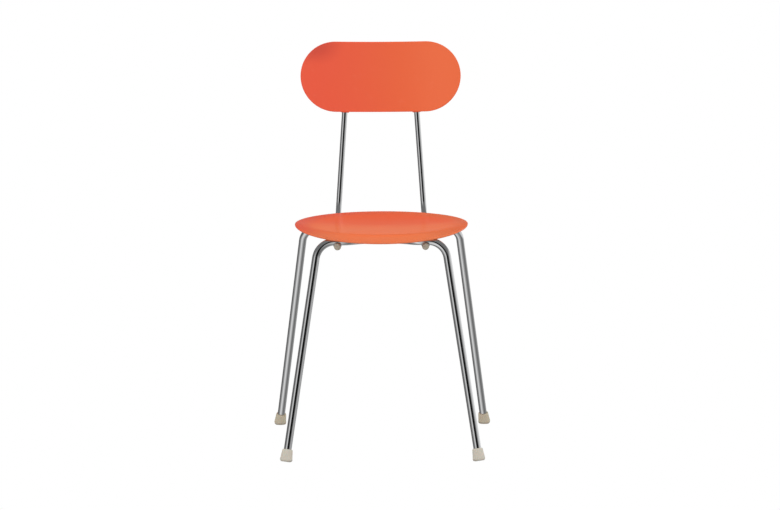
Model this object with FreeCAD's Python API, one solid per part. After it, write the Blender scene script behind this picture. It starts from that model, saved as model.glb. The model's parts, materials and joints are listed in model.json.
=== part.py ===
import FreeCAD, Part
import os
from math import cos, radians, sin, sqrt, tan

from FreeCAD import Vector

# Stacking chair, millimetres, +Z up.  The sitter faces -Y, and +X is on the right of someone who
# looks at the chair from its front.  While the pieces are made, y = 0 is the middle of the seat;
# the last step moves the whole chair so that the origin is under the middle of its bounding box.

# Leg frames: two tubes bent to an inverted U, each lying in its own slanted plane
leg_tube = 16.0
leg_wall = 1.5
bar_height = 445.8            # axis of both crossbars above the floor
front_bar_y = -140.0
front_bar_corner = 130.9      # half the span between the two bent corners
front_foot_y = -228.5
front_foot_corner = 199.4     # half the span on the floor
front_bend = 40.0
rear_bar_y = 80.0
rear_bar_corner = 164.0
rear_foot_y = 225.5
rear_foot_corner = 222.5
rear_bend = 30.0
bow_knee = 70.0               # half the span of the stretch of front crossbar that bows back
bow_knee_bend = 36.0
bow_angle = 40.0              # degrees, how far the bow turns at its knees

# Uprights: a thinner tube that runs back under the seat and turns up to the back panel
post_tube = 12.0
post_wall = 1.5
rail_nose_span = 91.0         # half the distance between the rails at their front ends
post_span = 94.3              # the same where they turn up into the posts
rail_saddle = 4.8             # depth that a crossbar sits down into a rail
rail_nose = 6.5               # rail ahead of the front crossbar's foremost line
post_foot_y = 198.6           # where the lines of rail and post meet
post_bend = 66.0
post_lean_back = 8.5          # degrees
post_lean_in = 3.9            # degrees
weld_leg = 2.4                # reach of a weld bead along each tube

# Ferrules on the feet
ferrule_height = 26.0
ferrule_top = 21.0
ferrule_bulge = 26.0
ferrule_sole = 20.0
ferrule_floor = 5.0           # material under the tube's end

# Caps on the front ends of the rails
cap_diameter = 14.5
cap_skirt = 3.2               # part of the cap that grips the rail from outside
cap_dome = 3.6
cap_stem = 12.0

# Seat: a thin oval shell, dished, with a front edge that droops
seat_half_width = 182.0
seat_half_depth = 190.0
seat_shell = 4.5
seat_centre_height = 460.0    # top of the shell at its middle
seat_rear_rise = 10.0
seat_side_rise = 7.5
seat_front_rise = 0.5
seat_droop = 10.4
droop_start = 0.78            # share of the way from middle to rim where the droop begins
tube_clearance = 0.2          # between moulded seat and any tube

# Bosses and ribs under the seat
boss_diameter = 15.0
front_boss_y = -92.0
rear_boss_y = 132.0
rib_width = 2.5
rib_depth = 5.0
rib_tall = 200.0              # bosses and ribs are made this tall, then cut off inside the shell

# Screws that hold the seat: up through each rail into a boss
screw_shank = 4.8
screw_hole = 5.4
screw_head = 9.4
screw_head_height = 3.0
screw_bite = 10.0             # length inside the boss
saddle_washer_width = 11.0
saddle_washer_thickness = 1.6
drive_width = 2.6             # hexagon socket across its flats
drive_depth = 1.8

# Back panel: a stadium outline on a curved shell
back_half_width = 172.0
back_height = 151.5           # along the slope
back_centre_height = 754.5
back_curve = 410.0            # radius of the front face
back_shell = 4.5
back_edge_round = 1.9
socket_wall = 3.2
socket_gap = 1.2              # from the shell's rear face to the bore in the socket
socket_clearance = 0.1
socket_lip = 0.5              # socket below the panel's lower edge
post_insertion = 84.0         # tube inside the socket
socket_cap_length = 11.0
back_screw_drop = 46.0        # screw below the tube's top end
back_screw_shank = 3.5
back_screw_head = 7.5
back_screw_head_height = 2.2
plug_length = 14.0
plug_flange = 1.6

sides = {"left": -1, "right": 1}
leg_radius = leg_tube / 2
post_radius = post_tube / 2
rail_height = bar_height - leg_radius - post_radius + rail_saddle
far = 1000.0                  # longer than any piece


def turned_back(before, corner, after):
    """Unit directions into and out of a corner, and the angle turned there."""
    way_in = (corner - before).normalize()
    way_out = (after - corner).normalize()
    return way_in, way_out, way_in.getAngle(way_out)


def bent_path(points, radii):
    """A wire of straight runs joined by tangent arcs, one radius for each inner point."""
    edges = []
    start = points[0]
    for before, corner, after, radius in zip(points, points[1:], points[2:], radii):
        way_in, way_out, turn = turned_back(before, corner, after)
        reach = radius * tan(turn / 2)
        arc_start = corner - way_in * reach
        arc_end = corner + way_out * reach
        inward = (way_out - way_in).normalize()
        middle = corner + inward * (radius / cos(turn / 2) - radius)
        edges.append(Part.LineSegment(start, arc_start).toShape())
        edges.append(Part.Arc(arc_start, middle, arc_end).toShape())
        start = arc_end
    edges.append(Part.LineSegment(start, points[-1]).toShape())
    return Part.Wire(edges)


def rod(points, radii, diameter):
    """A solid round bar along a bent path."""
    heading = (points[1] - points[0]).normalize()
    rim = Part.Wire(Part.makeCircle(diameter / 2, points[0], heading))
    return bent_path(points, radii).makePipeShell([rim], True, False)


def tube(points, radii, diameter, wall):
    """A hollow round tube along a bent path, open at both ends."""
    outer = rod(points, radii, diameter)
    inner = rod(points, radii, diameter - 2 * wall)
    return outer.cut(inner)


def cylinder(start, heading, diameter, length):
    return Part.makeCylinder(diameter / 2, length, start, heading)


def revolved(profile, base, axis):
    """A solid of revolution from (radius, distance along the axis) pairs."""
    corners = [Vector(radius, 0, height) for radius, height in profile]
    face = Part.Face(Part.makePolygon(corners + corners[:1]))
    solid = face.revolve(Vector(0, 0, 0), Vector(0, 0, 1), 360)
    solid.Placement = FreeCAD.Placement(base, FreeCAD.Rotation(Vector(0, 0, 1), axis))
    return solid


def front_frame_points():
    """Corner points of the front frame: foot, corner, bow, corner, foot."""
    drop = bow_knee * tan(radians(bow_angle))
    left = [
        Vector(-front_foot_corner, front_foot_y, 0),
        Vector(-front_bar_corner, front_bar_y, bar_height),
        Vector(-bow_knee, front_bar_y, bar_height),
    ]
    middle = [Vector(0, front_bar_y + drop, bar_height)]
    right = [Vector(-point.x, point.y, point.z) for point in reversed(left)]
    return left + middle + right


def front_frame_radii():
    """Bend radii of the front frame; the middle one takes up what the knees leave."""
    half_turn = radians(bow_angle)
    slope_length = bow_knee / cos(half_turn)
    knee_reach = bow_knee_bend * tan(half_turn / 2)
    bow_bend = (slope_length - knee_reach - 1.0) / tan(half_turn)
    return [front_bend, bow_knee_bend, bow_bend, bow_knee_bend, front_bend]


def rear_frame_points():
    left = [
        Vector(-rear_foot_corner, rear_foot_y, 0),
        Vector(-rear_bar_corner, rear_bar_y, bar_height),
    ]
    right = [Vector(-point.x, point.y, point.z) for point in reversed(left)]
    return left + right


def leg_run(points):
    """Foot point on the floor and the unit direction up a leg, for its left end."""
    return points[0], (points[1] - points[0]).normalize()


def trimmed(points):
    """The same path with its two ends cut short by the floor of the ferrules."""
    first, up_first = leg_run(points)
    last, up_last = leg_run(points[::-1])
    return [first + up_first * ferrule_floor] + points[1:-1] + [last + up_last * ferrule_floor]


def post_direction(side):
    """Unit direction up a post."""
    lean = Vector(-side * tan(radians(post_lean_in)), tan(radians(post_lean_back)), 1)
    return lean.normalize()


def post_corner(side):
    """Where the lines of a rail and its post meet."""
    return Vector(side * post_span, post_foot_y, rail_height)


def rail_tip(side):
    """Middle of a rail's front end."""
    return Vector(side * rail_nose_span, front_bar_y - leg_radius - rail_nose, rail_height)


def rail_heading(side):
    """Unit direction along a rail, towards the back."""
    return (post_corner(side) - rail_tip(side)).normalize()


def rail_at(side, y):
    """Point of a rail's axis at a place from front to back."""
    heading = rail_heading(side)
    return rail_tip(side) + heading * ((y - rail_tip(side).y) / heading.y)


def post_at_height(side, height):
    """Point of a post's axis at a height above the floor."""
    up = post_direction(side)
    return post_corner(side) + up * ((height - rail_height) / up.z)


def back_tilt():
    """Unit directions of the back panel: up its slope, and out of its rear face."""
    slope = radians(post_lean_back)
    return Vector(0, sin(slope), cos(slope)), Vector(0, cos(slope), -sin(slope))


def socket_mouth(side):
    """Point of a post's axis where its socket begins."""
    up_slope, _ = back_tilt()
    drop = (back_height / 2 + socket_lip) * up_slope.z
    return post_at_height(side, back_centre_height - drop)


def post_top(side):
    return socket_mouth(side) + post_direction(side) * (post_insertion + socket_lip)


def rail_points(side):
    """Front end of the rail, the corner under the back, and the top end of the post."""
    return [rail_tip(side), post_corner(side), post_top(side)]


def seat_screw_places():
    """Name and axis of each seat screw, as the point where it meets the rail's axis."""
    places = {}
    for end, y in (("front", front_boss_y), ("rear", rear_boss_y)):
        for name, side in sides.items():
            places[end + "_" + name] = rail_at(side, y)
    return places


def back_screw_axis(side):
    """Point on the post's axis and the direction out of the panel's rear face."""
    _, outward = back_tilt()
    return post_top(side) - post_direction(side) * back_screw_drop, outward


def leg_frame(points, radii):
    return tube(trimmed(points), radii, leg_tube, leg_wall)


def bar_relief(clearance):
    """Both leg frames as full rods, grown by a clearance: what other pieces stay out of."""
    diameter = leg_tube + 2 * clearance
    front = rod(front_frame_points(), front_frame_radii(), diameter)
    rear = rod(rear_frame_points(), [rear_bend, rear_bend], diameter)
    return front, rear


def upright(side):
    """Rail and post in one bent tube, saddled for the crossbars and drilled for its screws."""
    piece = tube(rail_points(side), [post_bend], post_tube, post_wall)
    for bar in bar_relief(0):
        piece = piece.cut(bar)
    for place in seat_screw_places().values():
        if place.x * side > 0:
            low = place - Vector(0, 0, post_tube)
            piece = piece.cut(cylinder(low, Vector(0, 0, 1), screw_hole, 2 * post_tube))
    start, outward = back_screw_axis(side)
    return piece.cut(cylinder(start, outward, back_screw_shank, post_tube))


def weld(side, y):
    """Bead around the saddle where a rail passes under a crossbar."""
    heading = rail_heading(side)
    rail_start = rail_at(side, y) - heading * post_tube * 2
    bar_start = Vector(rail_at(side, y).x - leg_tube, y, bar_height)
    grown_rail = cylinder(rail_start, heading, post_tube + 2 * weld_leg, post_tube * 4)
    grown_bar = cylinder(bar_start, Vector(1, 0, 0), leg_tube + 2 * weld_leg, leg_tube * 2)
    rail = cylinder(rail_start, heading, post_tube, post_tube * 4)
    bead = grown_rail.common(grown_bar).cut(rail)
    for bar in bar_relief(0):
        bead = bead.cut(bar)
    return bead


def ferrule(foot, up):
    """Tapered plastic foot pushed over a leg's end and standing flat on the floor."""
    lean_drop = ferrule_bulge / 2 * sqrt(1 - up.z * up.z) + 1.0
    profile = [
        (0, -lean_drop),
        (ferrule_sole / 2, -lean_drop),
        (ferrule_sole / 2, 0),
        (ferrule_bulge / 2 - 1.0, 2.2),
        (ferrule_bulge / 2, 5.0),
        (ferrule_bulge / 2 - 0.5, 8.5),
        (ferrule_top / 2 + 0.4, ferrule_height - 2.0),
        (ferrule_top / 2 - 0.8, ferrule_height),
        (0, ferrule_height),
    ]
    body = revolved(profile, foot, up)
    socket = cylinder(foot + up * ferrule_floor, up, leg_tube, far)
    below_floor = Part.makeBox(far, far, far, Vector(foot.x - far / 2, foot.y - far / 2, -far))
    return body.cut(socket).cut(below_floor)


def rail_cap(side):
    """Domed cap on the front end of a rail, with a skirt outside it and a stem inside."""
    nose = rail_tip(side)
    heading = rail_heading(side)
    radius = cap_diameter / 2
    profile = [
        (0, -cap_skirt),
        (radius, -cap_skirt),
        (radius, 0.6),
        (radius - 0.7, 2.2),
        (radius - 2.6, 3.3),
        (0, cap_dome),
    ]
    cap = revolved(profile, nose, heading * -1)
    cap = cap.cut(cylinder(nose, heading, post_tube, cap_stem))
    stem = cylinder(nose, heading, post_tube - 2 * post_wall, cap_stem)
    for bar in bar_relief(tube_clearance):
        stem = stem.cut(bar)
        cap = cap.cut(bar)
    return cap.fuse(stem).removeSplitter()


def seat_height(x, y):
    """Top of the seat shell: a shallow dish whose rim falls away round the front."""
    radius = sqrt((x / seat_half_width) ** 2 + (y / seat_half_depth) ** 2)
    back = max(0.0, y / seat_half_depth)
    front = max(0.0, -y / seat_half_depth)
    rise = seat_side_rise
    rise += (seat_rear_rise - seat_side_rise) * back
    rise += (seat_front_rise - seat_side_rise) * front
    share = max(0.0, (radius - droop_start) / (1 - droop_start))
    share = min(share, 1.25)
    fall = share * share * (3 - 2 * share) if share < 1 else 2 * share - share * share
    return seat_centre_height + rise * min(radius, 1.1) ** 2 - seat_droop * front ** 1.5 * fall


def seat_skin():
    """Top surface of the seat as one smooth patch, larger than the outline."""
    steps = 12                # spans of the patch each way
    reach = 1.06
    rows = []
    for i in range(steps + 1):
        x = seat_half_width * reach * (2 * i / steps - 1)
        rows.append([])
        for j in range(steps + 1):
            y = seat_half_depth * reach * (2 * j / steps - 1)
            rows[-1].append(Vector(x, y, seat_height(x, y)))
    skin = Part.BSplineSurface()
    skin.interpolate(rows)
    return skin.toShape()


def oval_prism(half_width, half_depth, low, high):
    """Upright solid with an elliptical plan."""
    across, along = Vector(half_width, 0, low), Vector(0, half_depth, low)
    longer, shorter = (along, across) if half_depth > half_width else (across, along)
    ellipse = Part.Ellipse(longer, shorter, Vector(0, 0, low))
    return Part.Face(Part.Wire(ellipse.toShape())).extrude(Vector(0, 0, high - low))


def seat_underside():
    """Bosses and ribs that stand on the rails, before the shell is laid on them."""
    up = Vector(0, 0, 1)
    rib_low = seat_centre_height - seat_shell - rib_depth
    parts = []
    for place in seat_screw_places().values():
        parts.append(cylinder(place, up, boss_diameter, rib_tall))
    for side in sides.values():
        middle = rail_at(side, (front_boss_y + rear_boss_y) / 2)
        corner = Vector(middle.x - rib_width / 2, front_boss_y, rib_low)
        parts.append(Part.makeBox(rib_width, rear_boss_y - front_boss_y, rib_tall, corner))
    for y in (front_boss_y, rear_boss_y):
        span = rail_at(1, y).x
        corner = Vector(-span, y - rib_width / 2, rib_low)
        parts.append(Part.makeBox(2 * span, rib_width, rib_tall, corner))
    solid = parts[0].multiFuse(parts[1:])
    for bar in bar_relief(tube_clearance):
        solid = solid.cut(bar)
    for side in sides.values():
        solid = solid.cut(rod(rail_points(side), [post_bend], post_tube))
    return solid


def seat():
    """Seat moulding: shell, screw bosses saddled on the rails, and ribs between them."""
    skin = seat_skin()
    outline = oval_prism(seat_half_width, seat_half_depth, 0, far)
    shell = skin.extrude(Vector(0, 0, -seat_shell)).common(outline)
    for bar in bar_relief(tube_clearance):
        shell = shell.cut(bar)
    mid_shell = skin.translated(Vector(0, 0, -seat_shell / 2))
    below = mid_shell.extrude(Vector(0, 0, -rib_tall))
    shell = shell.fuse(seat_underside().common(below))
    for place in seat_screw_places().values():
        depth = post_radius + screw_bite + 1.0
        shell = shell.cut(cylinder(place, Vector(0, 0, 1), screw_shank, depth))
    return shell


def seat_screw(place):
    """Pan-head screw with a hexagon socket, pointing up."""
    seat_z = place.z - post_radius - saddle_washer_thickness
    base = Vector(place.x, place.y, seat_z)
    shank = cylinder(base, Vector(0, 0, 1), screw_shank, place.z + post_radius + screw_bite - seat_z)
    tip = [edge for edge in shank.Edges if edge.CenterOfMass.z > place.z + post_tube]
    shank = shank.makeChamfer(1.0, tip)
    head = cylinder(base, Vector(0, 0, -1), screw_head, screw_head_height)
    lowest = [edge for edge in head.Edges if edge.CenterOfMass.z < seat_z - screw_head_height / 2
              and edge.Closed]
    head = head.makeFillet(screw_head_height / 2, lowest)
    corners = []
    for step in range(7):
        turn = radians(60 * step)
        across = drive_width / sqrt(3)
        corners.append(Vector(place.x + across * cos(turn), place.y + across * sin(turn),
                              seat_z - screw_head_height))
    drive = Part.Face(Part.makePolygon(corners)).extrude(Vector(0, 0, drive_depth))
    return head.fuse(shank).cut(drive).removeSplitter()


def saddle_washer(place):
    """Washer with a flat underside, hollowed on top to sit against the round rail."""
    heading = rail_heading(1 if place.x > 0 else -1)
    low = place.z - post_radius - saddle_washer_thickness
    height = saddle_washer_thickness + 2.0
    puck = cylinder(Vector(place.x, place.y, low), Vector(0, 0, 1), saddle_washer_width, height)
    rail_start = place - heading * saddle_washer_width
    rail = cylinder(rail_start, heading, post_tube, 2 * saddle_washer_width)
    hole = cylinder(Vector(place.x, place.y, low - 1), Vector(0, 0, 1), screw_hole, height + 2)
    return puck.cut(rail).cut(hole)


def back_panel_depth():
    """Middle of the panel's front face, placed so that its sockets line up with the posts."""
    up_slope, outward = back_tilt()
    post = post_at_height(1, back_centre_height)
    sagitta = back_curve - sqrt(back_curve ** 2 - post.x ** 2)
    gap = post_radius + socket_clearance + socket_gap + back_shell
    return Vector(0, post.y, back_centre_height) + outward * (sagitta - gap)


def in_panel_frame(shape):
    """Put a shape that was made with +Z up the slope and +Y out of the rear face in place."""
    placement = FreeCAD.Placement(back_panel_depth(),
                                  FreeCAD.Rotation(Vector(1, 0, 0), -post_lean_back))
    shape.Placement = placement
    return shape


def stadium_prism():
    """The panel's outline, extruded through its thickness."""
    radius = back_height / 2
    straight = back_half_width - radius
    corners = [Vector(-straight, -far / 2, radius), Vector(straight, -far / 2, radius),
               Vector(straight, -far / 2, -radius), Vector(-straight, -far / 2, -radius)]
    right = Vector(back_half_width, -far / 2, 0)
    left = Vector(-back_half_width, -far / 2, 0)
    edges = [Part.LineSegment(corners[0], corners[1]).toShape(),
             Part.Arc(corners[1], right, corners[2]).toShape(),
             Part.LineSegment(corners[2], corners[3]).toShape(),
             Part.Arc(corners[3], left, corners[0]).toShape()]
    return Part.Face(Part.Wire(edges)).extrude(Vector(0, far, 0))


def back_panel():
    """Curved shell with a stadium outline, and two blind sockets moulded on its rear face."""
    low = Vector(0, -back_curve, -back_height)
    up = Vector(0, 0, 1)
    outer = Part.makeCylinder(back_curve + back_shell, 2 * back_height, low, up)
    inner = Part.makeCylinder(back_curve, 2 * back_height, low, up)
    front_half = Part.makeBox(far, far, far, Vector(-far / 2, -back_curve - far, -far / 2))
    shell = outer.cut(inner).cut(front_half).common(stadium_prism())
    rim = [edge for edge in shell.Edges if edge.Length > 3 * back_shell]
    shell = shell.makeFillet(back_edge_round, rim)
    shell = in_panel_frame(shell)
    outer_radius = post_radius + socket_clearance + socket_wall
    for side in sides.values():
        up = post_direction(side)
        depth = post_insertion + socket_lip
        profile = [
            (0, 0),
            (outer_radius - 0.8, 0),
            (outer_radius, 0.8),
            (outer_radius, depth),
            (outer_radius * 0.86, depth + socket_cap_length * 0.5),
            (outer_radius * 0.5, depth + socket_cap_length * 0.88),
            (0, depth + socket_cap_length),
        ]
        shell = shell.fuse(revolved(profile, socket_mouth(side), up))
    for side in sides.values():
        up = post_direction(side)
        depth = post_insertion + socket_lip + plug_flange
        bore = cylinder(socket_mouth(side), up, post_tube + 2 * socket_clearance, depth)
        start, outward = back_screw_axis(side)
        head_seat = start + outward * (post_radius + socket_wall * 0.5)
        shell = shell.cut(bore)
        shell = shell.cut(cylinder(start, outward, back_screw_shank, far))
        shell = shell.cut(cylinder(head_seat, outward, back_screw_head, far))
    return shell.removeSplitter()


def back_screw(side):
    """Small pan-head screw through the socket and the rear wall of the post."""
    start, outward = back_screw_axis(side)
    base = start + outward * (post_radius + socket_wall * 0.5)
    shank = cylinder(base, outward * -1, back_screw_shank, socket_wall * 0.5 + post_wall + 2.0)
    head = cylinder(base, outward, back_screw_head - 0.3, back_screw_head_height)
    rim = [edge for edge in head.Edges if edge.Closed
           and (edge.CenterOfMass - base).dot(outward) > back_screw_head_height / 2]
    head = head.makeFillet(back_screw_head_height * 0.6, rim)
    slot_long = Part.makeBox(4.4, 0.9, 1.2, Vector(-2.2, -0.45, -1.2))
    slot_across = Part.makeBox(0.9, 4.4, 1.2, Vector(-0.45, -2.2, -1.2))
    cross = slot_long.fuse(slot_across)
    cross.Placement = FreeCAD.Placement(base + outward * back_screw_head_height,
                                        FreeCAD.Rotation(Vector(0, 0, 1), outward))
    return head.fuse(shank).cut(cross).removeSplitter()


def post_plug(side):
    """Plastic plug that closes the top end of a post inside its socket."""
    up = post_direction(side)
    top = post_top(side)
    stem = cylinder(top, up * -1, post_tube - 2 * post_wall, plug_length)
    flange = cylinder(top, up, post_tube, plug_flange)
    return stem.fuse(flange).removeSplitter()


def all_pieces():
    """Every piece of the chair by its name."""
    pieces = {
        "front_leg_frame": leg_frame(front_frame_points(), front_frame_radii()),
        "rear_leg_frame": leg_frame(rear_frame_points(), [rear_bend, rear_bend]),
        "seat_shell": seat(),
        "back_panel": back_panel(),
    }
    for name, side in sides.items():
        pieces[name + "_upright"] = upright(side)
        pieces[name + "_rail_cap"] = rail_cap(side)
        pieces[name + "_post_plug"] = post_plug(side)
        pieces[name + "_back_screw"] = back_screw(side)
        pieces["front_" + name + "_weld"] = weld(side, front_bar_y)
        pieces["rear_" + name + "_weld"] = weld(side, rear_bar_y)
    for end, points in (("front", front_frame_points()), ("rear", rear_frame_points())):
        for name, ordered in (("left", points), ("right", points[::-1])):
            pieces[end + "_" + name + "_foot"] = ferrule(*leg_run(ordered))
    for name, place in seat_screw_places().items():
        pieces[name + "_seat_screw"] = seat_screw(place)
        pieces[name + "_saddle_washer"] = saddle_washer(place)
    return pieces


def write_parts():
    os.makedirs("parts", exist_ok=True)
    pieces = all_pieces()
    box = Part.makeCompound(list(pieces.values())).optimalBoundingBox()
    to_origin = Vector(-box.Center.x, -box.Center.y, -box.ZMin)
    for name, shape in sorted(pieces.items()):
        shape = shape.translated(to_origin)
        shape.exportStep("parts/" + name + ".step")
        print(f"{name:26s} solids {len(shape.Solids)} valid {shape.isValid()} "
              f"volume {shape.Volume:10.1f}")
    print(f"overall {box.XLength:.1f} x {box.YLength:.1f} x {box.ZLength:.1f} mm, "
          f"moved by {to_origin.y:.2f} mm along y")


write_parts()
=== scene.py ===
import json
import math

import bmesh
import bpy
from mathutils import Matrix, Vector

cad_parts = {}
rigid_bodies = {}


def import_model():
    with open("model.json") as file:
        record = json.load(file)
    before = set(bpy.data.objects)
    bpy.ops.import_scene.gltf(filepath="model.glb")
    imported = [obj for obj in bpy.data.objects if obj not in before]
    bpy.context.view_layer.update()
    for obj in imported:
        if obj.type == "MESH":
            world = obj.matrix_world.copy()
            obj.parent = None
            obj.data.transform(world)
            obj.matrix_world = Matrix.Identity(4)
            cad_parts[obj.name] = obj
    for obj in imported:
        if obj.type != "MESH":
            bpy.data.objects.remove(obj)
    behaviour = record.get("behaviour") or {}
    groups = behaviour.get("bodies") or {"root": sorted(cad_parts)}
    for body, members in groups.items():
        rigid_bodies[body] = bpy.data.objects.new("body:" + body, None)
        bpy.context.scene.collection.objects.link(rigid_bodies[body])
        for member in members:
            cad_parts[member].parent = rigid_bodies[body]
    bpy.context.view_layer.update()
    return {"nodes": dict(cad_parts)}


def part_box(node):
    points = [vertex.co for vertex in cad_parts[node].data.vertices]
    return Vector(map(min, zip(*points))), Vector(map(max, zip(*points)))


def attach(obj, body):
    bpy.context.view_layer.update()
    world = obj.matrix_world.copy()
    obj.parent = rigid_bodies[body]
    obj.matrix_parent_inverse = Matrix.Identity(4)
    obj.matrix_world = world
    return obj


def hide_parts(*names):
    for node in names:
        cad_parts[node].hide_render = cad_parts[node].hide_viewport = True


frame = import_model()

seatLow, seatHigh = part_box("seat_shell")
seatHalf = (seatHigh - seatLow) / 2
middleY = (seatLow.y + seatHigh.y) / 2  # every depth below counts from the middle of the seat
mm = 0.001
weldGap = 1e-6  # points nearer than this become one
smoothBelow = 40  # degrees between two faces below which their edge is shaded smooth
turnedSmoothBelow = 50


def place(x, y, z):
    return Vector((x * mm, y * mm + middleY, z * mm))


class Wire:
    # one shader socket, so that sums and products can be written as such
    def __init__(self, look, socket):
        self.look = look
        self.socket = socket

    def maths(self, operation, first, second=0.0):
        return self.look.node("ShaderNodeMath", {"operation": operation}, {0: first, 1: second})

    def __add__(self, other):
        return self.maths("ADD", self, other)

    def __sub__(self, other):
        return self.maths("SUBTRACT", self, other)

    def __mul__(self, other):
        return self.maths("MULTIPLY", self, other)

    def __truediv__(self, other):
        return self.maths("DIVIDE", self, other)

    def __neg__(self):
        return self.maths("MULTIPLY", self, -1.0)

    def __radd__(self, other):
        return self.maths("ADD", other, self)

    def __rsub__(self, other):
        return self.maths("SUBTRACT", other, self)

    def __rmul__(self, other):
        return self.maths("MULTIPLY", other, self)


class Look:
    # the nodes of one material or of the world
    def __init__(self, tree):
        self.tree = tree
        tree.nodes.clear()

    def node(self, kind, settings=None, sockets=None, out=0):
        made = self.tree.nodes.new(kind)
        for name, value in (settings or {}).items():
            if name == "stops":
                self.setStops(made.color_ramp, value)
            else:
                setattr(made, name, value)
        for name, value in (sockets or {}).items():
            if isinstance(value, Wire):
                self.tree.links.new(value.socket, made.inputs[name])
            else:
                made.inputs[name].default_value = value
        return Wire(self, made.outputs[out]) if made.outputs else None

    def setStops(self, ramp, stops):
        while len(ramp.elements) < len(stops):
            ramp.elements.new(1.0)
        for element, (position, value) in zip(ramp.elements, stops):
            element.position = position
            element.color = (value, value, value, 1.0)

    def objectSpot(self):
        return self.node("ShaderNodeTexCoord", out=3)

    def noise(self, spot, scale, detail=3.0, rough=0.5):
        sockets = {"Vector": spot, "Scale": scale, "Detail": detail, "Roughness": rough}
        return self.node("ShaderNodeTexNoise", {}, sockets)

    def stretched(self, spot, scale):
        return self.node("ShaderNodeMapping", {}, {"Vector": spot, "Scale": scale})

    def span(self, value, low, high):
        # 0 below low, 1 above high, smooth between
        settings = {"interpolation_type": "SMOOTHSTEP"}
        return self.node("ShaderNodeMapRange", settings, {0: value, 1: low, 2: high})

    def blend(self, share, first, second, kind="MIX"):
        settings = {"data_type": "RGBA", "blend_type": kind}
        return self.node("ShaderNodeMix", settings, {0: share, 6: first, 7: second}, out=2)

    def bump(self, height, strength, distance, normal=None):
        sockets = {"Height": height, "Strength": strength, "Distance": distance}
        if normal:
            sockets["Normal"] = normal
        return self.node("ShaderNodeBump", {}, sockets)

    def finish(self, sockets):
        surface = self.node("ShaderNodeBsdfPrincipled", {}, sockets)
        self.node("ShaderNodeOutputMaterial", {}, {"Surface": surface})


def newLook(name):
    material = bpy.data.materials.new(name)
    material.use_nodes = True
    return material, Look(material.node_tree)


moulding = {
    # deep and warm are blended across x: darker and redder to the left, lighter orange to the
    # right, painted shade for light from the right
    "deep": (0.76, 0.085, 0.037, 1),
    "warm": (0.76, 0.128, 0.029, 1),
    "chalky": (0.80, 0.18, 0.085, 1),
    # edge: a darker orange painted on the seat's front lip as shade
    "edge": (0.665, 0.157, 0.052, 1),
    "darkerCorner": (0.60, 0.062, 0.033, 1),
    # the next two colours paint light on the seat's front and shade on its rear, where the dish
    # rises
    "shadedSeatRear": (0.85, 0.100, 0.018, 1),
    "litSeatFront": (0.88, 0.152, 0.028, 1),
    "roughness": 0.30,
    "sideShadeAcross": (-0.16, 0.17),
    "cloudScale": 7.0,
    "seatShadeReach": (0.80, 1.02),  # shares of the way from the seat's middle to its rim
    "seatShadeDepth": (-0.08, 0.42),
    "lipReach": (0.72, 0.92),
    "lipDepth": (-0.75, -0.2),
    "scuffScale": (30.0, 240.0, 60.0),
    "speckScale": 320.0,
    "corner": (-0.145, 0.0, 1.235),  # x and 1.5 times the height of the back's top-left corner, which is made darker
    "cornerReach": (0.02, 0.085),
    "stipple": 1400.0,
    "stippleHeight": 0.00006,
    "flowScale": 22.0,
    "flowHeight": 0.0012,
}


def orangeMoulding():
    material, look = newLook("orange polypropylene, fine stipple")
    spot = look.objectSpot()
    across = look.node("ShaderNodeSeparateXYZ", {}, {"Vector": spot})
    # painted shade: darker and redder towards the left, lighter towards the right, as if lit from
    # the right
    sideShade = look.span(across, *moulding["sideShadeAcross"])
    cloud = look.noise(spot, moulding["cloudScale"], 2.0)
    body = look.blend(sideShade * 0.9 + cloud * 0.12, moulding["deep"], moulding["warm"])
    flat = look.node("ShaderNodeMapping", {"vector_type": "TEXTURE"},
                     {"Vector": spot, "Location": (0, middleY, 0),
                      "Scale": (seatHalf.x, seatHalf.y, 1e6)})
    reach = look.node("ShaderNodeVectorMath", {"operation": "LENGTH"}, {0: flat}, out=1)
    depth = look.node("ShaderNodeSeparateXYZ", {}, {"Vector": flat}, out=1)
    # inside the seat's rim: painted light towards the front, painted shade towards the rear
    seatShadeArea = 1.0 - look.span(reach + cloud * 0.1, *moulding["seatShadeReach"])
    toneShift = look.blend(look.span(depth + cloud * 0.2, *moulding["seatShadeDepth"]),
                      moulding["litSeatFront"], moulding["shadedSeatRear"])
    body = look.blend(seatShadeArea, body, toneShift)
    # painted shade: the seat's front lip darker and more orange
    lip = look.span(reach, *moulding["lipReach"])
    lip = lip * (1.0 - look.span(depth, *moulding["lipDepth"])) * 0.85
    body = look.blend(lip, body, moulding["edge"])
    scuffs = look.noise(look.stretched(spot, moulding["scuffScale"]), 1.0, 5.0, 0.65)
    rubbed = look.span(scuffs, 0.60, 0.78)
    speck = look.span(look.noise(spot, moulding["speckScale"], 2.0), 0.66, 0.80)
    body = look.blend(rubbed * 0.18 + speck * 0.07, body, moulding["chalky"])
    # darker towards the back's top-left corner
    corner = look.node("ShaderNodeVectorMath", {"operation": "DISTANCE"},
                       {0: look.stretched(spot, (1.0, 0.0, 1.5)), 1: moulding["corner"]}, out=1)
    darkerCorner = 1.0 - look.span(corner + cloud * 0.03, *moulding["cornerReach"])
    body = look.blend(darkerCorner, body, moulding["darkerCorner"])
    stipple = look.noise(spot, moulding["stipple"], 2.0, 0.6)
    flow = look.noise(spot, moulding["flowScale"], 2.0)
    gloss = moulding["roughness"] + stipple * 0.07 + rubbed * 0.08 - flow * 0.06
    wavy = look.bump(flow, 0.10, moulding["flowHeight"])
    normal = look.bump(stipple, 0.35, moulding["stippleHeight"], wavy)
    look.finish({"Base Color": body, "Roughness": gloss, "Normal": normal, "IOR": 1.49})
    return material


chrome = {
    "colour": (0.90, 0.905, 0.91, 1),
    "dull": (0.62, 0.61, 0.58, 1),
    "roughness": 0.045,
    "kickedHeight": (0.02, 0.16),
    "scratchScale": (900.0, 900.0, 45.0),
    "scratchHeight": 0.00003,
    "pitScale": 520.0,
    "drawnScale": (60.0, 60.0, 12.0),
    "drawnHeight": 0.0004,
}


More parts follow.
